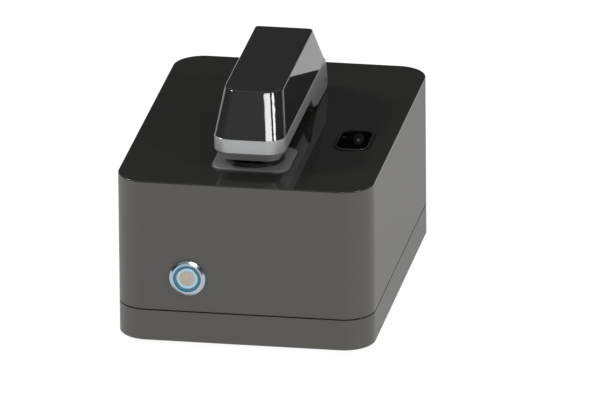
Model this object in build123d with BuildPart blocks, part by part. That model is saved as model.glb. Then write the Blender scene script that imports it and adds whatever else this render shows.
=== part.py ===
from build123d import *
import math
import os

# Micro-volume spectrophotometer: a box-shaped body, a swing-up measuring arm over a
# round pedestal, a cuvette port beside it and an illuminated push button in front.
# X is to the right, Y to the back, Z up. The origin is on the bench, under the middle
# of the body. All sizes are in millimetres.

# ---------------------------------------------------------------- driving dimensions
# Body
BODY_W = 155.0
BODY_D = 218.7
BODY_H = 101.2
CORNER_R = 18.7
WALL = 3.0
FOOT_H = 3.0
TRAY_H = 19.6
SEAM_GAP = 0.9
PANEL_T = 3.0
PANEL_EDGE = 0.8
PANEL_FILLET = 0.5
PANEL_STEP_IN = 2.4
LEDGE_T = 3.0
LEDGE_W = 10.0
FIT = 0.15
TOP_Z = FOOT_H + BODY_H
SEAM_Z = FOOT_H + TRAY_H
FRONT_Y = -BODY_D / 2
REAR_Y = BODY_D / 2

# Housing bosses and the screws that close the case
BOSS_X = 67.0
BOSS_Y = 99.0
BOSS_R = 5.0
SCREW_R = 1.4
SCREW_HOLE_R = 1.5
FOOT_X = 52.0
FOOT_Y = 84.0
FOOT_R = 7.0

# Push button, a standard panel type for a 19 mm hole
BUTTON_X = -32.9
BUTTON_Z = FOOT_H + 41.3
BUTTON_FLANGE_R = 10.9
BUTTON_FLANGE_T = 2.0
BUTTON_THREAD_R = 9.5
BUTTON_BORE_R = 8.4
BUTTON_DEPTH = 22.0
CAP_R = 6.7
CAP_GROOVE_R = 6.3
CAP_DISC_R = 4.6
CAP_TRAVEL = 1.2

# Measuring stage
STAGE_Y = -61.4
STAGE_W = 47.0
STAGE_FRONT = -83.0
STAGE_BACK = -41.5
STAGE_T = 1.0
STAGE_R = 8.0
BOSS_DISC_R = 18.0
BOSS_DISC_H = 4.0
PEDESTAL_R = 6.0
PEDESTAL_TOP = TOP_Z + 6.2
PEDESTAL_LOW = TOP_Z - 24.0
SLIDE_GAP = 0.05
SAMPLE_GAP = 1.0
FERRULE_R = 1.2

# Measuring arm
ARM_HALF_W = 21.8
ARM_FRONT = -87.0
ARM_REAR = 59.6
ARM_NOSE_R = 11.0
ARM_WALL = 3.0
BAND_LOW = TOP_Z + 12.6
BAND_TOP = TOP_Z + 21.0
BAND_FILLET = 0.5
LIP_LOW = TOP_Z + 6.9
LIP_IN = 4.0
LIP_OPENING_IN = 7.0
CHEEK_START = 10.0
CHEEK_TIP_Y = 18.0
CHEEK_TIP_Z = TOP_Z + 4.8
CHEEK_KNEE_Y = 33.0
CHEEK_KNEE_Z = TOP_Z + 1.3
CHEEK_R = 6.0
COVER_TOP = TOP_Z + 46.6
COVER_TOP_HALF_W = 17.6
COVER_TOP_FRONT = -71.5
COVER_TOP_REAR = 41.2
COVER_INSET = 0.2
COVER_WALL = 2.2
COVER_TAIL_R = 2.6
COVER_EDGE_FILLET = 1.5
JOINT_GAP = 0.15
HINGE_Y = 60.5
HINGE_Z = TOP_Z + 6.6
HINGE_PIN_R = 2.0
HINGE_BARREL_R = 5.0
HINGE_HALF_W = 15.6

# Cuvette port
PORT_X = 53.6
PORT_FRONT = -38.2
PORT_REAR = -6.6
PORT_W = 18.6
PORT_R = 6.0
PORT_LIP_W = 1.0
PORT_LIP_H = 0.8
PORT_LIP_FILLET = 0.4
PORT_DEPTH = 13.1
PORT_WALL = 2.0
CUVETTE = 12.6
BEAM_DROP = 4.6
BARREL_R = 3.2
BARREL_PROUD = 2.0
LENS_R = 1.4

# Chassis and rear plate
CHASSIS_Z = 12.0
CHASSIS_T = 1.5
CHASSIS_TOP = CHASSIS_Z + CHASSIS_T
STANDOFF_X = 52.0
STANDOFF_Y = 62.0
REAR_PLATE_W = 92.0
REAR_PLATE_LOW = 27.0
REAR_PLATE_HIGH = 67.0
REAR_PLATE_T = 2.0
BOARD_Z = 28.5
BOARD_T = 1.6
BOARD_TOP = BOARD_Z + BOARD_T
USB_X = -24.0
JACK_X = 24.0

# Path-length drive under the stage
SCREW_Y = STAGE_Y + 22.0
LEAD_SCREW_R = 2.0
MOTOR_R = 10.0
MOTOR_LOW = 35.0
MOTOR_HIGH = 53.0
BRACKET_T = 2.0
CARRIAGE_LOW = PEDESTAL_LOW - 2.0
CARRIAGE_T = 6.0
FIBRE_R = 1.5

CORNERS = [(sx * BOSS_X, sy * BOSS_Y) for sx in (-1, 1) for sy in (-1, 1)]
FEET = [(sx * FOOT_X, sy * FOOT_Y) for sx in (-1, 1) for sy in (-1, 1)]
STANDOFFS = [(sx * STANDOFF_X, sy * STANDOFF_Y) for sx in (-1, 1) for sy in (-1, 1)]
PORT_Y = (PORT_FRONT + PORT_REAR) / 2
PORT_L = PORT_REAR - PORT_FRONT
FRONT_PLANE = Plane(origin=(BUTTON_X, FRONT_Y, BUTTON_Z), x_dir=(1, 0, 0), z_dir=(0, -1, 0))

pieces = {}


def body_outline(inset):
    """Rounded outline of the body, moved in by inset."""
    RectangleRounded(BODY_W - 2 * inset, BODY_D - 2 * inset, CORNER_R - inset)


def disc(plane, radius, length, mode=Mode.ADD):
    """Round bar along the plane's normal, from the plane outwards."""
    with BuildSketch(plane) as profile:
        Circle(radius)
    extrude(profile.sketch, amount=length, mode=mode)


def block(x, y, z, mode=Mode.ADD):
    """Box between the two limits given on each axis."""
    with BuildSketch(Plane.XY.offset(z[0])) as profile:
        with Locations(((x[0] + x[1]) / 2, (y[0] + y[1]) / 2)):
            Rectangle(x[1] - x[0], y[1] - y[0])
    extrude(profile.sketch, amount=z[1] - z[0], mode=mode)


def posts(places, radius, low, high, mode=Mode.ADD):
    """Upright round bars of one height at several places."""
    with BuildSketch(Plane.XY.offset(low)) as profile:
        with Locations(*places):
            Circle(radius)
    extrude(profile.sketch, amount=high - low, mode=mode)


# ---------------------------------------------------------------- case
with BuildPart() as main_housing:
    with BuildSketch(Plane.XY.offset(SEAM_Z + SEAM_GAP / 2)):
        body_outline(0)
    extrude(amount=TOP_Z - PANEL_EDGE - SEAM_Z - SEAM_GAP / 2)
    with BuildSketch(Plane.XY.offset(TOP_Z - PANEL_T)):
        body_outline(PANEL_STEP_IN - FIT)
    extrude(amount=PANEL_T, mode=Mode.SUBTRACT)
    with BuildSketch(Plane.XY.offset(TOP_Z - PANEL_T - LEDGE_T)):
        body_outline(LEDGE_W)
    extrude(amount=LEDGE_T, mode=Mode.SUBTRACT)
    with BuildSketch(Plane.XY.offset(SEAM_Z + SEAM_GAP / 2)):
        body_outline(WALL)
    extrude(amount=TOP_Z - PANEL_T - LEDGE_T - SEAM_Z - SEAM_GAP / 2, mode=Mode.SUBTRACT)
    posts(CORNERS, BOSS_R, SEAM_Z + SEAM_GAP / 2, TOP_Z - PANEL_T - LEDGE_T)
    posts(CORNERS, SCREW_HOLE_R, SEAM_Z + SEAM_GAP / 2, SEAM_Z + 16, Mode.SUBTRACT)
    disc(FRONT_PLANE.offset(-2 * WALL), BUTTON_THREAD_R + FIT, 3 * WALL, Mode.SUBTRACT)
    block((-REAR_PLATE_W / 2 + 6, REAR_PLATE_W / 2 - 6), (REAR_Y - 2 * WALL, REAR_Y + WALL),
          (REAR_PLATE_LOW + 2.5, REAR_PLATE_HIGH - 6), Mode.SUBTRACT)
    for x in (-REAR_PLATE_W / 2 + 3, REAR_PLATE_W / 2 - 3):
        for z in (REAR_PLATE_LOW + 6, REAR_PLATE_HIGH - 3.5):
            disc(Plane(origin=(x, REAR_Y - WALL, z), z_dir=(0, 1, 0)), 1.25, WALL, Mode.SUBTRACT)
pieces["main_housing"] = main_housing

with BuildPart() as top_panel:
    with BuildSketch(Plane.XY.offset(TOP_Z - PANEL_EDGE)):
        body_outline(0)
    extrude(amount=PANEL_EDGE)
    fillet(top_panel.edges().group_by(Axis.Z)[-1], PANEL_FILLET)
    with BuildSketch(Plane.XY.offset(TOP_Z - PANEL_T)):
        body_outline(PANEL_STEP_IN)
    extrude(amount=PANEL_T - PANEL_EDGE)
    with BuildSketch(Plane.XY.offset(TOP_Z - PANEL_T)):
        with Locations((0, STAGE_Y)):
            Circle(9.6)
        with Locations((PORT_X, PORT_Y)):
            RectangleRounded(PORT_W + 2 * PORT_WALL + 2 * FIT, PORT_L + 2 * PORT_WALL + 2 * FIT,
                             PORT_R + PORT_WALL + FIT)
        with Locations((0, HINGE_Y - 9)):
            Circle(3.0)
        with Locations((-12, HINGE_Y - 9), (12, HINGE_Y - 9)):
            Circle(1.7)
    extrude(amount=PANEL_T, mode=Mode.SUBTRACT)
pieces["top_panel"] = top_panel

with BuildPart() as base_tray:
    with BuildSketch(Plane.XY.offset(FOOT_H)):
        body_outline(0)
    extrude(amount=TRAY_H - SEAM_GAP / 2)
    chamfer(base_tray.edges().group_by(Axis.Z)[0], 0.6)
    with BuildSketch(Plane.XY.offset(FOOT_H + WALL)):
        body_outline(WALL + 0.2)
    extrude(amount=TRAY_H + 4)
    with BuildSketch(Plane.XY.offset(FOOT_H + WALL)):
        body_outline(WALL + 2.4)
    extrude(amount=TRAY_H + 4, mode=Mode.SUBTRACT)
    posts(CORNERS, BOSS_R + 1, SEAM_Z, SEAM_Z + 8, Mode.SUBTRACT)
    posts(CORNERS, BOSS_R, FOOT_H + WALL, SEAM_Z + SEAM_GAP / 2)
    posts(CORNERS, SCREW_HOLE_R, FOOT_H, SEAM_Z + SEAM_GAP, Mode.SUBTRACT)
    posts(CORNERS, 3.2, FOOT_H, FOOT_H + 2.2, Mode.SUBTRACT)
    posts(STANDOFFS, 4.0, FOOT_H + WALL, CHASSIS_Z)
    posts(STANDOFFS, 1.25, FOOT_H + WALL, CHASSIS_Z, Mode.SUBTRACT)
    posts(FEET, 2.0, FOOT_H, FOOT_H + WALL, Mode.SUBTRACT)
    with BuildSketch(Plane.XY.offset(FOOT_H)):
        with GridLocations(10, 30, 9, 2):
            SlotOverall(20, 3, rotation=90)
    extrude(amount=WALL, mode=Mode.SUBTRACT)
pieces["base_tray"] = base_tray

with BuildPart() as feet:
    posts(FEET, FOOT_R, 0, FOOT_H)
    fillet(feet.edges().group_by(Axis.Z)[0], 0.8)
    posts(FEET, 2.0, FOOT_H, FOOT_H + WALL)
pieces["feet"] = feet

with BuildPart() as base_screws:
    posts(CORNERS, 2.8, FOOT_H + 0.4, FOOT_H + 2.2)
    posts(CORNERS, SCREW_R, FOOT_H + 2.2, SEAM_Z + 12)
    posts(CORNERS, 1.0, FOOT_H + 0.4, FOOT_H + 1.4, Mode.SUBTRACT)
pieces["base_screws"] = base_screws

# ---------------------------------------------------------------- rear connector plate
REAR_CENTRE_Z = (REAR_PLATE_LOW + REAR_PLATE_HIGH) / 2
REAR_PLANE = Plane(origin=(0, REAR_Y, 0), x_dir=(-1, 0, 0), z_dir=(0, 1, 0))
PLATE_SCREWS = [(x, z) for x in (-REAR_PLATE_W / 2 + 3, REAR_PLATE_W / 2 - 3)
                for z in (REAR_PLATE_LOW + 6, REAR_PLATE_HIGH - 3.5)]

with BuildPart() as rear_plate:
    with BuildSketch(REAR_PLANE):
        with Locations((0, REAR_CENTRE_Z)):
            RectangleRounded(REAR_PLATE_W, REAR_PLATE_HIGH - REAR_PLATE_LOW, 3)
        with Locations((-USB_X, BOARD_TOP + 5.6)):
            Rectangle(12.6, 11.4, mode=Mode.SUBTRACT)
        with Locations((-JACK_X, BOARD_TOP + 5.6)):
            Circle(5.2, mode=Mode.SUBTRACT)
        with Locations((0, REAR_PLATE_HIGH - 13)):
            with GridLocations(7, 0, 9, 1):
                SlotOverall(14, 2.5, rotation=90, mode=Mode.SUBTRACT)
    extrude(amount=REAR_PLATE_T)
    chamfer(rear_plate.faces().sort_by(Axis.Y)[-1].outer_wire().edges(), 0.4)
    with BuildSketch(REAR_PLANE):
        with Locations(*PLATE_SCREWS):
            Circle(1.25)
    extrude(amount=REAR_PLATE_T, mode=Mode.SUBTRACT)
    with BuildSketch(REAR_PLANE.offset(REAR_PLATE_T - 1.0)):
        with Locations(*PLATE_SCREWS):
            Circle(2.3)
    extrude(amount=1.0, mode=Mode.SUBTRACT)
pieces["rear_plate"] = rear_plate

with BuildPart() as rear_plate_screws:
    with BuildSketch(REAR_PLANE.offset(REAR_PLATE_T - 1.0)):
        with Locations(*PLATE_SCREWS):
            Circle(2.2)
    extrude(amount=0.9)
    with BuildSketch(REAR_PLANE.offset(REAR_PLATE_T - 1.0)):
        with Locations(*PLATE_SCREWS):
            Circle(1.15)
    extrude(amount=-(REAR_PLATE_T + WALL))
    with BuildSketch(REAR_PLANE.offset(REAR_PLATE_T - 0.1)):
        with Locations(*PLATE_SCREWS):
            RegularPolygon(0.9, 6)
    extrude(amount=-0.7, mode=Mode.SUBTRACT)
pieces["rear_plate_screws"] = rear_plate_screws

with BuildPart() as usb_socket:
    block((USB_X - 6.0, USB_X + 6.0), (REAR_Y - 14.5, REAR_Y + 1.6), (BOARD_TOP, BOARD_TOP + 11.0))
    block((USB_X - 4.3, USB_X + 4.3), (REAR_Y - 7.5, REAR_Y + 1.6),
          (BOARD_TOP + 1.6, BOARD_TOP + 9.4), Mode.SUBTRACT)
    block((USB_X - 2.8, USB_X + 2.8), (REAR_Y - 7.5, REAR_Y + 0.6), (BOARD_TOP + 3.9, BOARD_TOP + 7.1))
pieces["usb_socket"] = usb_socket

with BuildPart() as power_jack:
    block((JACK_X - 5.5, JACK_X + 5.5), (REAR_Y - 14.5, REAR_Y - 0.5), (BOARD_TOP, BOARD_TOP + 11.0))
    disc(Plane(origin=(JACK_X, REAR_Y - 0.5, BOARD_TOP + 5.6), z_dir=(0, 1, 0)), 5.0, 2.1)
    disc(Plane(origin=(JACK_X, REAR_Y - 10, BOARD_TOP + 5.6), z_dir=(0, 1, 0)), 3.2, 12, Mode.SUBTRACT)
    disc(Plane(origin=(JACK_X, REAR_Y - 10, BOARD_TOP + 5.6), z_dir=(0, 1, 0)), 1.0, 10)
pieces["power_jack"] = power_jack

# ---------------------------------------------------------------- push button
with BuildPart() as button_bezel:
    disc(FRONT_PLANE, BUTTON_FLANGE_R, BUTTON_FLANGE_T)
    chamfer(button_bezel.edges().group_by(Axis.Y)[0], 1.1, 1.5)
    disc(FRONT_PLANE.offset(-BUTTON_DEPTH), BUTTON_THREAD_R, BUTTON_DEPTH)
    disc(FRONT_PLANE.offset(-BUTTON_DEPTH), BUTTON_BORE_R, BUTTON_DEPTH + BUTTON_FLANGE_T, Mode.SUBTRACT)
pieces["button_bezel"] = button_bezel

with BuildPart() as button_led_ring:
    disc(FRONT_PLANE.offset(-5), BUTTON_BORE_R, 6.2)
    disc(FRONT_PLANE.offset(-5), CAP_R + 0.1, 6.2, Mode.SUBTRACT)
    fillet(button_led_ring.edges().group_by(Axis.Y)[0], 0.25)
pieces["button_led_ring"] = button_led_ring

with BuildPart() as button_cap:
    disc(FRONT_PLANE.offset(-6), CAP_R, 7.4)
    fillet(button_cap.edges().group_by(Axis.Y)[0], 0.3)
    disc(FRONT_PLANE.offset(-25), 2.0, 19)
    disc(FRONT_PLANE.offset(0.6), CAP_GROOVE_R, 0.8, Mode.SUBTRACT)
    disc(FRONT_PLANE.offset(0.6), CAP_DISC_R, 0.9)
pieces["button_cap"] = button_cap

with BuildPart() as cap_light_ring:
    disc(FRONT_PLANE.offset(0.6), CAP_GROOVE_R, 0.7)
    disc(FRONT_PLANE.offset(0.6), CAP_DISC_R, 0.7, Mode.SUBTRACT)
pieces["cap_light_ring"] = cap_light_ring

with BuildPart() as button_nut:
    with BuildSketch(FRONT_PLANE.offset(-WALL)):
        RegularPolygon(12.2, 6)
        Circle(BUTTON_THREAD_R, mode=Mode.SUBTRACT)
    extrude(amount=-3.0)
pieces["button_nut"] = button_nut

with BuildPart() as button_switch:
    disc(FRONT_PLANE.offset(-BUTTON_DEPTH - 13), 9.0, 13)
    disc(FRONT_PLANE.offset(-BUTTON_DEPTH - 8), 2.3, 8, Mode.SUBTRACT)
    with BuildSketch(FRONT_PLANE.offset(-BUTTON_DEPTH - 13)):
        with GridLocations(8, 8, 2, 2):
            Rectangle(2.8, 0.5)
    extrude(amount=-6)
pieces["button_switch"] = button_switch

# ---------------------------------------------------------------- measuring stage
with BuildPart() as stage_plate:
    with BuildSketch(Plane.XY.offset(TOP_Z)):
        with Locations((0, (STAGE_FRONT + STAGE_BACK) / 2)):
            RectangleRounded(STAGE_W, STAGE_BACK - STAGE_FRONT, STAGE_R)
    extrude(amount=STAGE_T)
    chamfer(stage_plate.edges().group_by(Axis.Z)[-1], 0.15)
    posts([(0, STAGE_Y)], BOSS_DISC_R + 0.1, TOP_Z, TOP_Z + STAGE_T, Mode.SUBTRACT)
pieces["stage_plate"] = stage_plate

with BuildPart() as pedestal_boss:
    posts([(0, STAGE_Y)], BOSS_DISC_R, TOP_Z, TOP_Z + BOSS_DISC_H)
    fillet(pedestal_boss.edges().group_by(Axis.Z)[-1], 1.2)
    posts([(0, STAGE_Y)], PEDESTAL_R + 1.0, TOP_Z, TOP_Z + BOSS_DISC_H, Mode.SUBTRACT)
pieces["pedestal_boss"] = pedestal_boss

with BuildPart() as pedestal_guide:
    posts([(0, STAGE_Y)], 9.5, PEDESTAL_LOW + 6, TOP_Z)
    posts([(0, STAGE_Y)], 15.0, TOP_Z - PANEL_T - 3, TOP_Z - PANEL_T)
    posts([(0, STAGE_Y)], PEDESTAL_R + SLIDE_GAP, PEDESTAL_LOW + 6, TOP_Z, Mode.SUBTRACT)
pieces["pedestal_guide"] = pedestal_guide

with BuildPart() as lower_pedestal:
    posts([(0, STAGE_Y)], PEDESTAL_R, PEDESTAL_LOW, PEDESTAL_TOP)
    chamfer(lower_pedestal.edges().group_by(Axis.Z)[-1], 1.6, 3.0)
    posts([(0, STAGE_Y)], FERRULE_R, PEDESTAL_LOW, PEDESTAL_TOP, Mode.SUBTRACT)
pieces["lower_pedestal"] = lower_pedestal

with BuildPart() as lower_ferrule:
    posts([(0, STAGE_Y)], FERRULE_R, PEDESTAL_LOW - 8, PEDESTAL_TOP)
pieces["lower_ferrule"] = lower_ferrule

with BuildPart() as lift_carriage:
    block((-8, 8), (STAGE_Y - 9, SCREW_Y + 8), (CARRIAGE_LOW - CARRIAGE_T, CARRIAGE_LOW))
    fillet(lift_carriage.edges().filter_by(Axis.Z), 4)
    posts([(0, STAGE_Y)], 8.0, CARRIAGE_LOW, PEDESTAL_LOW + 3)
    posts([(0, STAGE_Y)], PEDESTAL_R, PEDESTAL_LOW, PEDESTAL_LOW + 3, Mode.SUBTRACT)
    posts([(0, STAGE_Y)], FERRULE_R, CARRIAGE_LOW - CARRIAGE_T, PEDESTAL_LOW, Mode.SUBTRACT)
    posts([(0, SCREW_Y)], 5.0, CARRIAGE_LOW - CARRIAGE_T, CARRIAGE_LOW, Mode.SUBTRACT)
pieces["lift_carriage"] = lift_carriage

with BuildPart() as lift_nut:
    posts([(0, SCREW_Y)], 5.0, CARRIAGE_LOW - CARRIAGE_T, CARRIAGE_LOW + 3)
    posts([(0, SCREW_Y)], LEAD_SCREW_R + SLIDE_GAP, CARRIAGE_LOW - CARRIAGE_T, CARRIAGE_LOW + 3,
          Mode.SUBTRACT)
pieces["lift_nut"] = lift_nut

with BuildPart() as lead_screw:
    posts([(0, SCREW_Y)], LEAD_SCREW_R, MOTOR_LOW + 6, CARRIAGE_LOW + 10)
    chamfer(lead_screw.edges().group_by(Axis.Z)[-1], 0.5)
pieces["lead_screw"] = lead_screw

with BuildPart() as lift_motor:
    posts([(0, SCREW_Y)], MOTOR_R, MOTOR_LOW, MOTOR_HIGH)
    fillet(lift_motor.edges().group_by(Axis.Z)[0], 1.0)
    posts([(0, SCREW_Y)], LEAD_SCREW_R + SLIDE_GAP, MOTOR_LOW + 6, MOTOR_HIGH, Mode.SUBTRACT)
pieces["lift_motor"] = lift_motor

with BuildPart() as motor_bracket:
    block((-13, 13), (SCREW_Y - 12, SCREW_Y + 18), (MOTOR_HIGH, MOTOR_HIGH + BRACKET_T))
    block((-13, 13), (SCREW_Y + 16, SCREW_Y + 18), (CHASSIS_TOP, MOTOR_HIGH + BRACKET_T))
    block((-13, 13), (SCREW_Y + 18, SCREW_Y + 28), (CHASSIS_TOP, CHASSIS_TOP + BRACKET_T))
    posts([(0, SCREW_Y)], LEAD_SCREW_R + 1.0, MOTOR_HIGH, MOTOR_HIGH + BRACKET_T, Mode.SUBTRACT)
pieces["motor_bracket"] = motor_bracket

# ---------------------------------------------------------------- measuring arm
COVER_LOW = BAND_TOP + JOINT_GAP
COVER_SLOPE = (ARM_REAR - COVER_TOP_REAR) / (COVER_TOP - COVER_LOW)
HINGE_POINT = Vector(HINGE_Y, HINGE_Z)
REAR_POINT = Vector(ARM_REAR, BAND_TOP)
REACH = (REAR_POINT - HINGE_POINT).length
REAR_LEAN = math.degrees(math.acos(CHEEK_R / REACH))
CHEEK_TANGENT = HINGE_POINT + (REAR_POINT - HINGE_POINT).normalized().rotate(Axis.Z, -REAR_LEAN) * CHEEK_R
CHEEK_LOW = HINGE_Z - CHEEK_R
FRAME_SLOPE = (CHEEK_TANGENT.X - ARM_REAR) / (BAND_TOP - CHEEK_TANGENT.Y)


def rear_line(z):
    """Y of the arm's sloping rear face at height z: the frame's below the joint line, the cover's above."""
    if z < BAND_TOP:
        return ARM_REAR + (BAND_TOP - z) * FRAME_SLOPE
    return ARM_REAR - (z - COVER_LOW) * COVER_SLOPE


def nose_solid(inset, rear, low, high, mode=Mode.ADD):
    """Upright block with the arm's rounded nose in plan."""
    half = ARM_HALF_W - inset
    front = ARM_FRONT + inset
    with BuildSketch(Plane.XY.offset(low)) as profile:
        with BuildLine():
            FilletPolyline((-half, rear), (-half, front), (half, front), (half, rear), radius=ARM_NOSE_R - inset)
            Line((half, rear), (-half, rear))
        make_face()
    extrude(profile.sketch, amount=high - low, mode=mode)


with BuildPart() as arm_frame:
    with BuildSketch(Plane.YZ):
        with BuildLine():
            Polyline((HINGE_Y, CHEEK_LOW), (CHEEK_KNEE_Y, CHEEK_KNEE_Z), (CHEEK_TIP_Y, CHEEK_TIP_Z),
                     (CHEEK_START, BAND_LOW), (ARM_FRONT, BAND_LOW), (ARM_FRONT, BAND_TOP),
                     (ARM_REAR, BAND_TOP), (CHEEK_TANGENT.X, CHEEK_TANGENT.Y))
            RadiusArc((CHEEK_TANGENT.X, CHEEK_TANGENT.Y), (HINGE_Y, CHEEK_LOW), CHEEK_R)
        make_face()
    extrude(amount=ARM_HALF_W, both=True)
    nose_solid(0, HINGE_Y + 20, TOP_Z, COVER_TOP, Mode.INTERSECT)
    fillet(arm_frame.edges().group_by(Axis.Z)[-1], BAND_FILLET)
    nose_solid(ARM_WALL, HINGE_Y + 30, TOP_Z, COVER_TOP, Mode.SUBTRACT)
    with BuildSketch(Plane.XY.offset(LIP_LOW)):
        with Locations((0, (ARM_FRONT + LIP_IN + CHEEK_START) / 2)):
            RectangleRounded(2 * (ARM_HALF_W - LIP_IN), CHEEK_START - ARM_FRONT - LIP_IN, ARM_NOSE_R - LIP_IN)
    with BuildSketch(Plane.XY.offset(BAND_LOW)):
        with Locations((0, (ARM_FRONT + CHEEK_START) / 2)):
            RectangleRounded(2 * ARM_HALF_W, CHEEK_START - ARM_FRONT, ARM_NOSE_R)
    loft(ruled=True)
    nose_solid(LIP_OPENING_IN, CHEEK_START - LIP_OPENING_IN, LIP_LOW, BAND_LOW, Mode.SUBTRACT)
    with BuildSketch(Plane.YZ):
        with Locations((HINGE_Y, HINGE_Z)):
            Circle(HINGE_PIN_R)
    extrude(amount=ARM_HALF_W, both=True, mode=Mode.SUBTRACT)
pieces["arm_frame"] = arm_frame


def cover_section(z, shrink):
    """Rounded plan of the arm cover at height z, moved in by shrink."""
    share = (COVER_TOP - z) / (COVER_TOP - COVER_LOW)
    half = COVER_TOP_HALF_W + share * (ARM_HALF_W - COVER_INSET - COVER_TOP_HALF_W) - shrink
    front = COVER_TOP_FRONT + share * (ARM_FRONT + COVER_INSET - COVER_TOP_FRONT) + shrink
    rear = ARM_REAR - (z - COVER_LOW) * COVER_SLOPE - 1.15 * shrink
    nose = ARM_NOSE_R - shrink
    tail = COVER_TAIL_R - shrink
    with BuildSketch(Plane.XY.offset(z)) as section:
        with BuildLine():
            FilletPolyline((-half, front), (half, front), (half, rear), (-half, rear),
                           close=True, radius=[nose, nose, tail, tail])
        make_face()
    return section.sketch


FLAP_LOW = TOP_Z + 15.0
FLAP_HIGH = TOP_Z + 27.0
FLAP_T = 2.5
FLAP_HALF_W = ARM_HALF_W - ARM_WALL - 0.3

with BuildPart() as arm_cover:
    loft([cover_section(COVER_LOW, 0), cover_section(COVER_TOP, 0)], ruled=True)
    fillet(arm_cover.edges().group_by(Axis.Z)[-1], COVER_EDGE_FILLET)
    loft([cover_section(COVER_LOW, COVER_WALL), cover_section(COVER_TOP - COVER_WALL, COVER_WALL)],
         ruled=True, mode=Mode.SUBTRACT)
    with BuildSketch(Plane.YZ):
        with BuildLine():
            Polyline((rear_line(FLAP_LOW), FLAP_LOW), (ARM_REAR, COVER_LOW), (rear_line(FLAP_HIGH), FLAP_HIGH),
                     (rear_line(FLAP_HIGH) - FLAP_T, FLAP_HIGH), (ARM_REAR - FLAP_T, COVER_LOW),
                     (rear_line(FLAP_LOW) - FLAP_T, FLAP_LOW), close=True)
        make_face()
    extrude(amount=FLAP_HALF_W, both=True)
pieces["arm_cover"] = arm_cover

PLATE_Z = BAND_LOW
PLATE_T = 2.0
HEAD_R = 5.0
UPPER_FACE = PEDESTAL_TOP + SAMPLE_GAP

with BuildPart() as arm_underside:
    nose_solid(ARM_WALL + FIT, CHEEK_START + 26, PLATE_Z, PLATE_Z + PLATE_T)
    posts([(0, STAGE_Y)], HEAD_R, PLATE_Z, PLATE_Z + PLATE_T, Mode.SUBTRACT)
    posts([(-12, -20), (12, -20)], 1.25, PLATE_Z, PLATE_Z + PLATE_T, Mode.SUBTRACT)
    posts([(0, -34)], 3.0, PLATE_Z, PLATE_Z + PLATE_T, Mode.SUBTRACT)
pieces["arm_underside"] = arm_underside

with BuildPart() as upper_pedestal:
    posts([(0, STAGE_Y)], HEAD_R, UPPER_FACE, PLATE_Z + PLATE_T)
    chamfer(upper_pedestal.edges().group_by(Axis.Z)[0], 1.2, 1.8)
    posts([(0, STAGE_Y)], HEAD_R + 3, PLATE_Z + PLATE_T, PLATE_Z + PLATE_T + 4)
    posts([(0, STAGE_Y)], FERRULE_R, UPPER_FACE, PLATE_Z + PLATE_T + 4, Mode.SUBTRACT)
pieces["upper_pedestal"] = upper_pedestal

with BuildPart() as upper_ferrule:
    posts([(0, STAGE_Y)], FERRULE_R, UPPER_FACE, PLATE_Z + PLATE_T + 10)
pieces["upper_ferrule"] = upper_ferrule

with BuildPart() as arm_magnet:
    posts([(0, -34)], 3.0, PLATE_Z, PLATE_Z + PLATE_T + 1)
pieces["arm_magnet"] = arm_magnet

with BuildPart() as stage_magnet:
    posts([(0, -34)], 3.0, TOP_Z, PLATE_Z - 0.4)
    chamfer(stage_magnet.edges().group_by(Axis.Z)[-1], 0.4)
pieces["stage_magnet"] = stage_magnet

with BuildPart() as cover_posts:
    posts([(-12, -20), (12, -20)], 3.0, PLATE_Z + PLATE_T, COVER_TOP - COVER_WALL)
    posts([(-12, -20), (12, -20)], 1.2, PLATE_Z + PLATE_T, PLATE_Z + PLATE_T + 10, Mode.SUBTRACT)
pieces["cover_posts"] = cover_posts

with BuildPart() as arm_screws:
    posts([(-12, -20), (12, -20)], 2.2, PLATE_Z - 1.4, PLATE_Z)
    posts([(-12, -20), (12, -20)], 1.2, PLATE_Z, PLATE_Z + PLATE_T + 8)
    with BuildSketch(Plane.XY.offset(PLATE_Z - 1.4)):
        with Locations((-12, -20), (12, -20)):
            RegularPolygon(1.1, 6)
    extrude(amount=0.8, mode=Mode.SUBTRACT)
pieces["arm_screws"] = arm_screws

# ---------------------------------------------------------------- hinge
BLOCK_FOOT_FRONT = HINGE_Y - 14
BLOCK_FOOT_T = 2.6
HEEL_FRONT = HINGE_Y + 6.4
HEEL_REAR = HINGE_Y + 10.5
HEEL_TOP = TOP_Z + 4.2
BUSH_R = 3.2
BUSH_L = 6.0

with BuildPart() as hinge_block:
    with BuildSketch(Plane.YZ):
        with Locations((HINGE_Y, HINGE_Z)):
            Circle(HINGE_BARREL_R)
        with BuildLine():
            Polyline((HINGE_Y - HINGE_BARREL_R, HINGE_Z), (HINGE_Y - HINGE_BARREL_R, TOP_Z),
                     (HINGE_Y + HINGE_BARREL_R, TOP_Z), (HINGE_Y + HINGE_BARREL_R, HINGE_Z), close=True)
        make_face()
    extrude(amount=HINGE_HALF_W, both=True)
    block((-HINGE_HALF_W, HINGE_HALF_W), (BLOCK_FOOT_FRONT, HINGE_Y), (TOP_Z, TOP_Z + BLOCK_FOOT_T))
    block((-12, 12), (HINGE_Y, HEEL_REAR), (TOP_Z, TOP_Z + BLOCK_FOOT_T))
    block((-12, 12), (HEEL_FRONT, HEEL_REAR), (TOP_Z, HEEL_TOP))
    with BuildSketch(Plane.YZ):
        with Locations((HINGE_Y, HINGE_Z)):
            Circle(BUSH_R)
    extrude(amount=HINGE_HALF_W, both=True, mode=Mode.SUBTRACT)
    posts([(0, HINGE_Y - 9)], 3.0, TOP_Z, TOP_Z + BLOCK_FOOT_T, Mode.SUBTRACT)
    posts([(-12, HINGE_Y - 9), (12, HINGE_Y - 9)], 1.25, TOP_Z, TOP_Z + BLOCK_FOOT_T, Mode.SUBTRACT)
pieces["hinge_block"] = hinge_block

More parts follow.
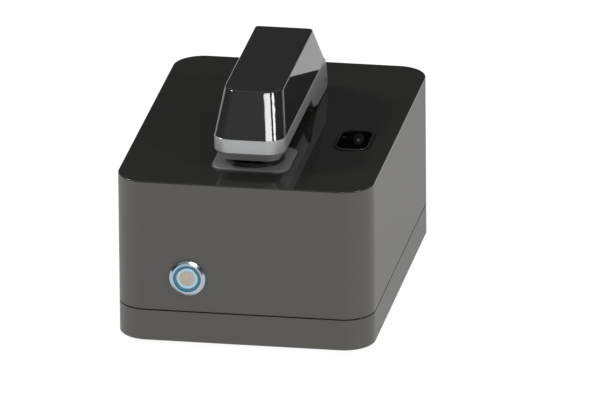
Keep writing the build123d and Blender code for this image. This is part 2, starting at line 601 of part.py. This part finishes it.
with BuildPart() as hinge_bushes:
    for side in (-1, 1):
        face = Plane(origin=(side * HINGE_HALF_W, HINGE_Y, HINGE_Z), z_dir=(side, 0, 0))
        disc(face.offset(-BUSH_L), BUSH_R, BUSH_L)
        disc(face, HINGE_BARREL_R - 0.4, 1.0)
        disc(face.offset(-BUSH_L), HINGE_PIN_R + SLIDE_GAP, BUSH_L + 1, Mode.SUBTRACT)
pieces["hinge_bushes"] = hinge_bushes

with BuildPart() as hinge_pin:
    disc(Plane(origin=(-ARM_HALF_W, HINGE_Y, HINGE_Z), z_dir=(1, 0, 0)), HINGE_PIN_R, 2 * ARM_HALF_W)
    chamfer(hinge_pin.edges(), 0.3)
pieces["hinge_pin"] = hinge_pin

with BuildPart() as hinge_screws:
    posts([(-12, HINGE_Y - 9), (12, HINGE_Y - 9)], 2.6, TOP_Z - PANEL_T - 1.8, TOP_Z - PANEL_T)
    posts([(-12, HINGE_Y - 9), (12, HINGE_Y - 9)], 1.2, TOP_Z - PANEL_T, TOP_Z + BLOCK_FOOT_T - 0.3)
pieces["hinge_screws"] = hinge_screws

# ---------------------------------------------------------------- cuvette port
PORT_FLOOR = TOP_Z - PORT_DEPTH
BEAM_Z = TOP_Z - BEAM_DROP
GUIDE_Y = PORT_REAR - 5.0
GUIDE_T = 4.0
GUIDE_SUNK = 2.0


def port_solid(grow, low, high, mode=Mode.ADD):
    """Upright block with the port's rounded plan, grown all round."""
    with BuildSketch(Plane.XY.offset(low)) as profile:
        with Locations((PORT_X, PORT_Y)):
            RectangleRounded(PORT_W + 2 * grow, PORT_L + 2 * grow, PORT_R + grow)
    extrude(profile.sketch, amount=high - low, mode=mode)


with BuildPart() as cuvette_well:
    port_solid(PORT_WALL, PORT_FLOOR - PORT_WALL, TOP_Z)
    port_solid(0, PORT_FLOOR, TOP_Z, Mode.SUBTRACT)
    disc(Plane(origin=(PORT_X, PORT_FRONT - PORT_WALL, BEAM_Z), z_dir=(0, 1, 0)), BARREL_R,
         PORT_L + 2 * PORT_WALL, Mode.SUBTRACT)
pieces["cuvette_well"] = cuvette_well

with BuildPart() as port_bezel:
    port_solid(PORT_LIP_W, TOP_Z, TOP_Z + PORT_LIP_H)
    fillet(port_bezel.edges().group_by(Axis.Z)[-1], PORT_LIP_FILLET)
    port_solid(0, TOP_Z, TOP_Z + PORT_LIP_H, Mode.SUBTRACT)
pieces["port_bezel"] = port_bezel

with BuildPart() as cuvette_guides:
    for side in (-1, 1):
        inner = PORT_X + side * (CUVETTE / 2 + 0.6)
        outer = inner + side * 3.6
        block((min(inner, outer), max(inner, outer)), (GUIDE_Y, GUIDE_Y + GUIDE_T), (PORT_FLOOR, TOP_Z - GUIDE_SUNK))
    chamfer(cuvette_guides.edges().group_by(Axis.Z)[-1], 0.5)
    port_solid(0, PORT_FLOOR, TOP_Z, Mode.INTERSECT)
pieces["cuvette_guides"] = cuvette_guides

with BuildPart() as cuvette_spring:
    with BuildSketch(Plane.XY.offset(PORT_FLOOR)):
        with BuildLine():
            FilletPolyline((PORT_X - 6, PORT_FRONT + 5.0), (PORT_X - 4, PORT_FRONT + 7.4),
                           (PORT_X + 4, PORT_FRONT + 7.4), (PORT_X + 6, PORT_FRONT + 5.0), radius=1.5)
            offset(amount=0.2, side=Side.BOTH)
        make_face()
    extrude(amount=5.0)
pieces["cuvette_spring"] = cuvette_spring

with BuildPart() as lens_barrels:
    for start in (PORT_FRONT - PORT_WALL, PORT_REAR - BARREL_PROUD):
        disc(Plane(origin=(PORT_X, start, BEAM_Z), z_dir=(0, 1, 0)), BARREL_R, PORT_WALL + BARREL_PROUD)
        disc(Plane(origin=(PORT_X, start, BEAM_Z), z_dir=(0, 1, 0)), LENS_R, PORT_WALL + BARREL_PROUD,
             Mode.SUBTRACT)
pieces["lens_barrels"] = lens_barrels

with BuildPart() as beam_lenses:
    for start in (PORT_FRONT + 0.6, PORT_REAR - 1.4):
        disc(Plane(origin=(PORT_X, start, BEAM_Z), z_dir=(0, 1, 0)), LENS_R, 0.8)
pieces["beam_lenses"] = beam_lenses

# ---------------------------------------------------------------- inner modules
with BuildPart() as chassis_plate:
    block((-60, 60), (-86, 84), (CHASSIS_Z, CHASSIS_TOP))
    fillet(chassis_plate.edges().filter_by(Axis.Z), 6)
    posts(STANDOFFS, 1.6, CHASSIS_Z, CHASSIS_TOP, Mode.SUBTRACT)
pieces["chassis_plate"] = chassis_plate

with BuildPart() as chassis_screws:
    posts(STANDOFFS, 2.7, CHASSIS_TOP, CHASSIS_TOP + 1.8)
    posts(STANDOFFS, 1.2, CHASSIS_Z - 5, CHASSIS_TOP)
pieces["chassis_screws"] = chassis_screws

SPEC_X = (-66.0, -20.0)
SPEC_Y = (-48.0, 34.0)
SPEC_Z = (CHASSIS_TOP, CHASSIS_TOP + 26.0)

with BuildPart() as spectrometer_body:
    block(SPEC_X, SPEC_Y, SPEC_Z)
    block((SPEC_X[0] + 3, SPEC_X[1] - 3), (SPEC_Y[0] + 3, SPEC_Y[1] - 3), (SPEC_Z[0] + 3, SPEC_Z[1]),
          Mode.SUBTRACT)
    disc(Plane(origin=(SPEC_X[1] - 4, 20, SPEC_Z[0] + 13), z_dir=(1, 0, 0)), FIBRE_R, 6, Mode.SUBTRACT)
pieces["spectrometer_body"] = spectrometer_body

with BuildPart() as spectrometer_lid:
    block(SPEC_X, SPEC_Y, (SPEC_Z[1], SPEC_Z[1] + 2))
pieces["spectrometer_lid"] = spectrometer_lid

with BuildPart() as spectrometer_mirrors:
    for x, y, turn in ((-54, -34, 12), (-36, -36, -12)):
        with BuildSketch(Plane.XY.offset(SPEC_Z[0] + 3)) as foot:
            with Locations(Location((x, y, 0), (0, 0, turn))):
                Rectangle(14, 4)
        extrude(foot.sketch, amount=18)
pieces["spectrometer_mirrors"] = spectrometer_mirrors

with BuildPart() as diffraction_grating:
    with BuildSketch(Plane.XY.offset(SPEC_Z[0] + 3)):
        with Locations(Location((-44, 14, 0), (0, 0, 24))):
            Rectangle(16, 5)
    extrude(amount=18)
pieces["diffraction_grating"] = diffraction_grating

with BuildPart() as detector_board:
    block((-62, -60.4), (-20, 16), (SPEC_Z[0] + 4, SPEC_Z[0] + 22))
    block((-60.4, -57.4), (-12, 8), (SPEC_Z[0] + 9, SPEC_Z[0] + 17))
pieces["detector_board"] = detector_board

LAMP_X = (24.0, 60.0)
LAMP_Y = (-12.0, 34.0)
LAMP_Z = (CHASSIS_TOP, CHASSIS_TOP + 34.0)

with BuildPart() as lamp_housing:
    block(LAMP_X, LAMP_Y, LAMP_Z)
    disc(Plane(origin=((LAMP_X[0] + LAMP_X[1]) / 2, LAMP_Y[0] + 6, LAMP_Z[0] + 18), z_dir=(0, 1, 0)), 12, 40,
         Mode.SUBTRACT)
    disc(Plane(origin=((LAMP_X[0] + LAMP_X[1]) / 2, LAMP_Y[0], LAMP_Z[0] + 18), z_dir=(0, 1, 0)), FIBRE_R, 6,
         Mode.SUBTRACT)
pieces["lamp_housing"] = lamp_housing

with BuildPart() as flash_lamp:
    disc(Plane(origin=((LAMP_X[0] + LAMP_X[1]) / 2, LAMP_Y[0] + 10, LAMP_Z[0] + 18), z_dir=(0, 1, 0)), 10, 20)
    fillet(flash_lamp.edges().group_by(Axis.Y)[0], 3)
    disc(Plane(origin=((LAMP_X[0] + LAMP_X[1]) / 2, LAMP_Y[0] + 30, LAMP_Z[0] + 18), z_dir=(0, 1, 0)), 12, 8)
pieces["flash_lamp"] = flash_lamp

with BuildPart() as main_board:
    block((-62, 62), (46, 102), (BOARD_Z, BOARD_TOP))
pieces["main_board"] = main_board

BOARD_POSTS = [(sx * 56, y) for sx in (-1, 1) for y in (52, 78)]

with BuildPart() as board_standoffs:
    with BuildSketch(Plane.XY.offset(CHASSIS_TOP)):
        with Locations(*BOARD_POSTS):
            RegularPolygon(3.0, 6)
    extrude(amount=BOARD_Z - CHASSIS_TOP)
pieces["board_standoffs"] = board_standoffs

with BuildPart() as board_parts:
    block((-40, -24), (54, 70), (BOARD_TOP, BOARD_TOP + 1.6))
    block((6, 22), (52, 64), (BOARD_TOP, BOARD_TOP + 1.2))
    posts([(40, 58), (40, 72)], 5.0, BOARD_TOP, BOARD_TOP + 14)
    block((-8, 0), (52, 76), (BOARD_TOP, BOARD_TOP + 8))
pieces["board_parts"] = board_parts


def fibre(points, bend):
    """Optical fibre of constant diameter along straight runs and round bends."""
    with BuildPart() as lead:
        with BuildLine() as route:
            FilletPolyline(*points, radius=bend)
        with BuildSketch(Plane(origin=route.line @ 0, z_dir=route.line % 0)):
            Circle(FIBRE_R)
        sweep()
    return lead


SPEC_PORT = (SPEC_X[1] - 3, 20, SPEC_Z[0] + 13)
LAMP_PORT = ((LAMP_X[0] + LAMP_X[1]) / 2, LAMP_Y[0] + 6, LAMP_Z[0] + 18)

pieces["receiving_fibre"] = fibre(
    [SPEC_PORT, (-15.2, 20, SPEC_PORT[2]), (-15.2, -48, 34), (-11, STAGE_Y, 42), (0, STAGE_Y, 52),
     (0, STAGE_Y, PEDESTAL_LOW - 9.5)], 4.5)
pieces["cuvette_fibre"] = fibre(
    [LAMP_PORT, (LAMP_PORT[0], -34, LAMP_PORT[2]), (PORT_X + 4, -58, 60), (PORT_X, -62, BEAM_Z),
     (PORT_X, PORT_FRONT - PORT_WALL, BEAM_Z)], 7)
pieces["arm_fibre"] = fibre(
    [(0, STAGE_Y, PLATE_Z + PLATE_T + 10), (0, STAGE_Y, COVER_TOP - 12), (0, -30, COVER_TOP - 12),
     (0, 20, COVER_TOP - 22), (0, 44, TOP_Z + 12)], 9)

os.makedirs("parts", exist_ok=True)
for node, piece in pieces.items():
    piece.part.label = node
    export_step(piece.part, f"parts/{node}.step")
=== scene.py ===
import math
import bpy
from mathutils import Matrix, Vector


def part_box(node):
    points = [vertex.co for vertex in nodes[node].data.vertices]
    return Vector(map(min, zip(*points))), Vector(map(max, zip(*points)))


# Looks of the micro-volume spectrophotometer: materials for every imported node, the floor,
# the soft studio light and the camera. Everything is in metres, in the frame of the CAD.

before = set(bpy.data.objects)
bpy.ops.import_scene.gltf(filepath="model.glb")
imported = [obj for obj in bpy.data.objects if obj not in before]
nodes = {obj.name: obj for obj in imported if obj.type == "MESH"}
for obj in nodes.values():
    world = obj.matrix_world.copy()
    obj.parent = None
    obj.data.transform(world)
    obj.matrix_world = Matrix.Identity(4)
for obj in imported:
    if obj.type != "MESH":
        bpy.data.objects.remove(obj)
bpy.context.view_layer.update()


def middle(low, high):
    """Point halfway between two corners."""
    return (Vector(low) + Vector(high)) / 2


# ---------------------------------------------------------------- places read from the frame
BUTTON = middle(*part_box("button_bezel"))
PEDESTAL = middle(*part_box("lower_pedestal"))


# ---------------------------------------------------------------- node material helpers
class Shader:
    """A principled material that is built up one procedural layer at a time."""

    def __init__(self, name, colour, metallic=0.0, roughness=0.5, **sockets):
        self.material = bpy.data.materials.new(name)
        self.material.use_nodes = True
        self.tree = self.material.node_tree
        self.surface = self.tree.nodes["Principled BSDF"]
        self.place = self.node("ShaderNodeTexCoord").outputs["Object"]
        self.colour = colour
        self.height = None
        self.surface.inputs["Base Color"].default_value = (*colour, 1)
        self.surface.inputs["Metallic"].default_value = metallic
        self.surface.inputs["Roughness"].default_value = roughness
        for socket, value in sockets.items():
            self.surface.inputs[socket.replace("_", " ").title().replace("Ior", "IOR")].default_value = value

    def node(self, kind, **settings):
        made = self.tree.nodes.new(kind)
        for key, value in settings.items():
            setattr(made, key, value)
        return made

    def link(self, output, socket):
        self.tree.links.new(output, socket)

    def stretched(self, scale):
        """Object coordinates stretched along each axis."""
        mapping = self.node("ShaderNodeMapping")
        mapping.inputs["Scale"].default_value = scale
        self.link(self.place, mapping.inputs["Vector"])
        return mapping.outputs["Vector"]

    def noise(self, scale, detail=3.0, stretch=(1, 1, 1)):
        """Fractal noise, scale in cycles per metre."""
        texture = self.node("ShaderNodeTexNoise")
        texture.inputs["Scale"].default_value = scale
        texture.inputs["Detail"].default_value = detail
        self.link(self.stretched(stretch), texture.inputs["Vector"])
        return texture.outputs["Fac"]

    def remap(self, value, low, high, start=0.3, end=0.7):
        """Value between start and end becomes low to high."""
        ramp = self.node("ShaderNodeMapRange")
        ramp.inputs["From Min"].default_value = start
        ramp.inputs["From Max"].default_value = end
        ramp.inputs["To Min"].default_value = low
        ramp.inputs["To Max"].default_value = high
        self.link(value, ramp.inputs["Value"])
        return ramp.outputs["Result"]

    def blend_colour(self, factor, dark, light):
        mix = self.node("ShaderNodeMix", data_type="RGBA")
        mix.inputs["A"].default_value = (*dark, 1)
        mix.inputs["B"].default_value = (*light, 1)
        self.link(factor, mix.inputs["Factor"])
        return mix.outputs["Result"]

    def mottle(self, scale, amount):
        """Slow variation of the colour."""
        dark = tuple(c * (1 - amount) for c in self.colour)
        light = tuple(min(c * (1 + amount), 1) for c in self.colour)
        factor = self.remap(self.noise(scale), 0, 1)
        self.link(self.blend_colour(factor, dark, light), self.surface.inputs["Base Color"])
        return self

    def haze(self, scale, low, high, stretch=(1, 1, 1)):
        """Variation of the roughness, such as handling marks."""
        self.link(self.remap(self.noise(scale, 5, stretch), low, high), self.surface.inputs["Roughness"])
        return self

    def bump(self, height, depth):
        """Relief from a height value, depth in metres."""
        relief = self.node("ShaderNodeBump")
        relief.inputs["Distance"].default_value = depth
        relief.inputs["Strength"].default_value = 1.0
        self.link(height, relief.inputs["Height"])
        if self.height is not None:
            self.link(self.height, relief.inputs["Normal"])
        self.height = relief.outputs["Normal"]
        self.link(self.height, self.surface.inputs["Normal"])
        return self

    def grain(self, scale, depth, stretch=(1, 1, 1)):
        return self.bump(self.noise(scale, 2, stretch), depth)


def powder_coat(name, colour):
    """Fine satin powder coat: a pebbled skin with grains from a third of a millimetre up."""
    return (Shader(name, colour, roughness=0.45, specular_ior_level=0.4)
            .mottle(40, 0.012).haze(400, 0.43, 0.49).grain(3200, 1.0e-5).grain(1200, 1.0e-5)).material


def gloss_black(name, colour, roughness, reflection=0.5):
    """Polished black plastic with a faint haze of handling."""
    return (Shader(name, colour, roughness=roughness, ior=1.5, specular_ior_level=reflection)
            .mottle(30, 0.06).haze(45, roughness, roughness + 0.015).grain(14, 1.0e-6)).material


def moulded(name, colour, roughness=0.6):
    """Matte moulded plastic with a spark-eroded texture."""
    return (Shader(name, colour, roughness=roughness)
            .mottle(120, 0.12).haze(200, roughness - 0.08, roughness + 0.08).grain(2600, 2.0e-5)).material


def blasted(name, colour, roughness=0.3, metallic=1.0):
    """Bead-blasted, anodised aluminium."""
    return (Shader(name, colour, metallic=metallic, roughness=roughness)
            .mottle(600, 0.015).haze(1500, roughness - 0.02, roughness + 0.03).grain(5200, 4.0e-6)).material


def brushed(name, colour, stretch, roughness=0.28, metallic=1.0):
    """Metal brushed along the axis with the smallest scale in stretch."""
    return (Shader(name, colour, metallic=metallic, roughness=roughness)
            .mottle(700, 0.02).haze(1200, roughness - 0.04, roughness + 0.05, stretch)
            .grain(2400, 4.0e-6, stretch)).material


WAVE_PHASE = 20.0


def turned(name, colour, centre, axis, radian_width=1.6e-4, roughness=0.22):
    """Lathe-turned metal: rings about the axis through centre.

    The ring wave advances by one radian over each radian_width, in metres.
    WAVE_PHASE is the phase that the wave texture gains for each scaled metre.
    """
    shade = Shader(name, colour, metallic=1.0, roughness=roughness)
    shift = shade.node("ShaderNodeVectorMath", operation="SUBTRACT")
    shade.link(shade.place, shift.inputs[0])
    shift.inputs[1].default_value = centre
    rings = shade.node("ShaderNodeTexWave", wave_type="RINGS", rings_direction=axis, wave_profile="SIN")
    rings.inputs["Scale"].default_value = 1 / (WAVE_PHASE * radian_width)
    rings.inputs["Distortion"].default_value = 0.4
    shade.link(shift.outputs["Vector"], rings.inputs["Vector"])
    return shade.mottle(300, 0.05).haze(600, roughness - 0.06, roughness + 0.08).bump(
        rings.outputs["Fac"], 4.0e-6).material


def lit(name, colour, strength):
    """Translucent light guide, lit from behind, a little brighter in places."""
    shade = Shader(name, colour, roughness=0.25)
    factor = shade.remap(shade.noise(900), 0, 1)
    dark = tuple(c * 0.82 for c in colour)
    glow = shade.blend_colour(factor, dark, colour)
    shade.link(glow, shade.surface.inputs["Base Color"])
    shade.link(glow, shade.surface.inputs["Emission Color"])
    shade.surface.inputs["Emission Strength"].default_value = strength
    return shade.haze(700, 0.2, 0.32).grain(2400, 8.0e-6).material


def circuit(name):
    """Green solder mask over a raised grid of tracks."""
    shade = Shader(name, (0.012, 0.09, 0.035), roughness=0.3, ior=1.5)
    tracks = shade.node("ShaderNodeTexBrick")
    tracks.inputs["Scale"].default_value = 160
    tracks.inputs["Mortar Size"].default_value = 0.03
    tracks.inputs["Color1"].default_value = (0.010, 0.085, 0.033, 1)
    tracks.inputs["Color2"].default_value = (0.014, 0.110, 0.045, 1)
    tracks.inputs["Mortar"].default_value = (0.030, 0.190, 0.080, 1)
    shade.link(shade.place, tracks.inputs["Vector"])
    shade.link(tracks.outputs["Color"], shade.surface.inputs["Base Color"])
    return shade.haze(300, 0.25, 0.38).bump(tracks.outputs["Fac"], 2.0e-5).material


def polished_glass(name):
    """Clear optical glass with a trace of dust."""
    return (Shader(name, (0.92, 0.96, 1.0), roughness=0.03, transmission_weight=0.9, ior=1.52)
            .mottle(400, 0.03).haze(900, 0.02, 0.08).grain(60, 1.0e-6)).material


def front_mirror(name):
    """Front-silvered mirror with a faint coating grain."""
    return (Shader(name, (0.88, 0.89, 0.90), metallic=1.0, roughness=0.04)
            .mottle(90, 0.03).haze(200, 0.02, 0.08).grain(40, 1.0e-6)).material


def soft_rubber(name):
    """Black elastomer with a dusty, slightly rough skin."""
    return (Shader(name, (0.018, 0.018, 0.018), roughness=0.75)
            .mottle(200, 0.25).haze(250, 0.65, 0.85).grain(1800, 4.0e-5)).material


# ---------------------------------------------------------------- materials of the nodes
ALONG_X = (0.02, 1, 1)
ALONG_Y = (1, 0.02, 1)
ALONG_Z = (1, 1, 0.02)

case_coat = powder_coat("case_powder_coat", (0.078, 0.075, 0.068))
panel_gloss = gloss_black("top_panel_gloss", (0.015, 0.0155, 0.014), 0.045)
cover_gloss = gloss_black("arm_cover_gloss", (0.017, 0.0175, 0.018), 0.035, 0.4)
band_alloy = blasted("arm_band_alloy", (0.41, 0.415, 0.42), 0.30, 0.5)
stage_alloy = brushed("stage_alloy", (0.22, 0.22, 0.225), ALONG_X, 0.42, 0.5)
matte_black = moulded("matte_black_moulding", (0.018, 0.018, 0.019))
black_anodised = blasted("black_anodised_alloy", (0.028, 0.028, 0.030), 0.38)
barrel_alloy = blasted("dark_barrel_alloy", (0.10, 0.10, 0.10), 0.45)
plain_alloy = brushed("milled_alloy", (0.60, 0.60, 0.60), ALONG_Y, 0.30)
machined_steel = brushed("machined_steel", (0.52, 0.52, 0.51), ALONG_Z, 0.25)
pedestal_steel = turned("turned_pedestal_steel", (0.60, 0.60, 0.59), (PEDESTAL.x, PEDESTAL.y, 0), "Z")
button_steel = turned("turned_button_steel", (0.42, 0.37, 0.30), (BUTTON.x, 0, BUTTON.z), "Y")
bezel_steel = turned("polished_bezel_steel", (0.38, 0.45, 0.50), (BUTTON.x, 0, BUTTON.z), "Y", 1e-4, 0.18)
zinc = blasted("zinc_plated_screws", (0.40, 0.40, 0.41), 0.35)
brass = turned("turned_brass", (0.58, 0.43, 0.18), (0, 0, 0), "X", 2e-4, 0.25)
nickel = blasted("nickel_plate", (0.62, 0.61, 0.58), 0.16)

looks = {
    case_coat: ["main_housing", "base_tray"],
    panel_gloss: ["top_panel"],
    cover_gloss: ["arm_cover", "pedestal_boss", "port_bezel"],
    band_alloy: ["arm_frame"],
    stage_alloy: ["stage_plate"],
    matte_black: ["arm_underside", "cover_posts", "power_jack", "button_switch"],
    barrel_alloy: ["lens_barrels"],
    black_anodised: ["rear_plate", "cuvette_well", "hinge_block", "pedestal_guide", "spectrometer_body",
                     "spectrometer_lid", "cuvette_guides"],
    plain_alloy: ["chassis_plate", "motor_bracket", "lift_carriage", "lamp_housing"],
    machined_steel: ["button_nut", "lead_screw", "lift_motor", "hinge_pin", "usb_socket", "cuvette_spring"],
    pedestal_steel: ["lower_pedestal", "upper_pedestal", "lower_ferrule", "upper_ferrule"],
    button_steel: ["button_cap"],
    bezel_steel: ["button_bezel"],
    zinc: ["base_screws", "rear_plate_screws", "arm_screws", "hinge_screws", "chassis_screws"],
    brass: ["lift_nut", "hinge_bushes", "board_standoffs"],
    nickel: ["arm_magnet", "stage_magnet"],
    soft_rubber("foot_rubber"): ["feet"],
    lit("led_ring_blue", (0.014, 0.130, 0.215), 0.5): ["button_led_ring"],
    lit("cap_ring_pale_blue", (0.30, 0.50, 0.62), 0.28): ["cap_light_ring"],
    circuit("solder_mask"): ["main_board", "detector_board"],
    moulded("component_epoxy", (0.022, 0.022, 0.024), 0.5): ["board_parts"],
    moulded("fibre_jacket", (0.03, 0.03, 0.035), 0.45): ["receiving_fibre", "cuvette_fibre", "arm_fibre"],
    polished_glass("optical_glass"): ["beam_lenses", "flash_lamp"],
    front_mirror("silvered_glass"): ["spectrometer_mirrors", "diffraction_grating"],
}

for look, members in looks.items():
    for member in members:
        mesh = nodes[member].data
        mesh.materials.clear()
        mesh.materials.append(look)

# ---------------------------------------------------------------- floor
FLOOR_HALF = 14.0
floor_mesh = bpy.data.meshes.new("floor")
floor_mesh.from_pydata(
    [(-FLOOR_HALF, -FLOOR_HALF, 0), (FLOOR_HALF, -FLOOR_HALF, 0), (FLOOR_HALF, FLOOR_HALF, 0),
     (-FLOOR_HALF, FLOOR_HALF, 0)], [], [(0, 1, 2, 3)])
floor = bpy.data.objects.new("floor", floor_mesh)
bpy.context.scene.collection.objects.link(floor)
floor_paint = Shader("floor_paper", (0.12, 0.12, 0.12), roughness=0.9, specular_ior_level=0.0)
floor_paint.surface.inputs["Emission Color"].default_value = (1, 1, 1, 1)
floor_paint.surface.inputs["Emission Strength"].default_value = 0.95
floor_mesh.materials.append(floor_paint.mottle(2, 0.005).material)


# ---------------------------------------------------------------- light
# Places in the sky's ramp, 0 straight down, 0.5 at the horizon and 1 straight up, each with its brightness.
SKY_STOPS = ((0.0, 1.0), (0.495, 1.0), (0.505, 0.05), (0.72, 0.05), (0.80, 0.36), (0.86, 0.42), (1.0, 0.35))
LIGHT_AIM = Vector((0, 0, 0.08))
STRIP_DISTANCE = 2.5
OVERHEAD_PLACE = Vector((0.0, -0.3, 2.2))
LEFT_KEY_PLACE = Vector((-1.75, -0.15, 1.75))


def sky():
    """White below the horizon, dim just above it and lighter overhead, as under a soft box."""
    world = bpy.data.worlds.new("studio")
    bpy.context.scene.world = world
    world.use_nodes = True
    tree = world.node_tree
    direction = tree.nodes.new("ShaderNodeTexCoord")
    split = tree.nodes.new("ShaderNodeSeparateXYZ")
    ramp = tree.nodes.new("ShaderNodeValToRGB")
    tree.links.new(direction.outputs["Generated"], split.inputs["Vector"])
    shift = tree.nodes.new("ShaderNodeMapRange")
    shift.inputs["From Min"].default_value = -1
    tree.links.new(split.outputs["Z"], shift.inputs["Value"])
    tree.links.new(shift.outputs["Result"], ramp.inputs["Fac"])
    tree.links.new(ramp.outputs["Color"], tree.nodes["Background"].inputs["Color"])
    elements = ramp.color_ramp.elements
    while len(elements) < len(SKY_STOPS):
        elements.new(0.5)
    for element, (position, value) in zip(elements, SKY_STOPS):
        element.position = position
        element.color = (value, value, value, 1)


def soft_light(name, place, size, power):
    """White area light aimed at the object, size in metres, power in watts, unseen by the camera."""
    data = bpy.data.lights.new(name, "AREA")
    data.shape = "RECTANGLE"
    data.size, data.size_y = size
    data.energy = power
    lamp = bpy.data.objects.new(name, data)
    lamp.location = place
    lamp.rotation_mode = "QUATERNION"
    lamp.rotation_quaternion = (LIGHT_AIM - place).to_track_quat("-Z", "Y")
    lamp.visible_camera = False
    bpy.context.scene.collection.objects.link(lamp)


def around(azimuth, elevation):
    """Place at STRIP_DISTANCE from LIGHT_AIM, azimuth from the front to the right, both angles in degrees."""
    turn = math.radians(azimuth)
    lift = math.radians(elevation)
    towards = Vector((math.sin(turn) * math.cos(lift), -math.cos(turn) * math.cos(lift), math.sin(lift)))
    return towards * STRIP_DISTANCE + LIGHT_AIM


sky()
soft_light("overhead", OVERHEAD_PLACE, (2.0, 2.0), 2)
soft_light("left_key", LEFT_KEY_PLACE, (0.45, 0.45), 34)
soft_light("front_strip", around(19, 41.5), (1.35, 0.20), 21)
soft_light("right_strip", around(63, 37), (0.80, 0.26), 19)

# ---------------------------------------------------------------- camera
# A long lens seen from the front, a little from the right and above. PICTURE_WIDTH is the width in metres that
# fills the picture at the object. AIM_RIGHT and AIM_UP move the aim from the middle of the body's base.
AZIMUTH = math.radians(10.14)
ELEVATION = math.radians(20.83)
ROLL = math.radians(-0.51)
LENS = 1000.0
SENSOR = 36.0
PICTURE_WIDTH = 0.3619
AIM_RIGHT = 0.01544
AIM_UP = 0.04745
BODY_BASE = Vector((0, 0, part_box("base_tray")[0][2]))

back = Vector((math.sin(AZIMUTH) * math.cos(ELEVATION), -math.cos(AZIMUTH) * math.cos(ELEVATION),
               math.sin(ELEVATION)))
level_right = Vector((math.cos(AZIMUTH), math.sin(AZIMUTH), 0))
level_up = back.cross(level_right)
right = level_right * math.cos(ROLL) + level_up * math.sin(ROLL)
up = level_up * math.cos(ROLL) - level_right * math.sin(ROLL)
eye = BODY_BASE + right * AIM_RIGHT + up * AIM_UP + back * (LENS * PICTURE_WIDTH / SENSOR)

camera_data = bpy.data.cameras.new("camera")
camera_data.lens = LENS
camera_data.sensor_width = SENSOR
camera_data.clip_start = 0.5
camera_data.clip_end = 60
camera = bpy.data.objects.new("camera", camera_data)
camera.matrix_world = Matrix((
    (right.x, up.x, back.x, eye.x),
    (right.y, up.y, back.y, eye.y),
    (right.z, up.z, back.z, eye.z),
    (0, 0, 0, 1)))
bpy.context.scene.collection.objects.link(camera)
bpy.context.scene.camera = camera
bpy.context.scene.view_settings.view_transform = "Standard"
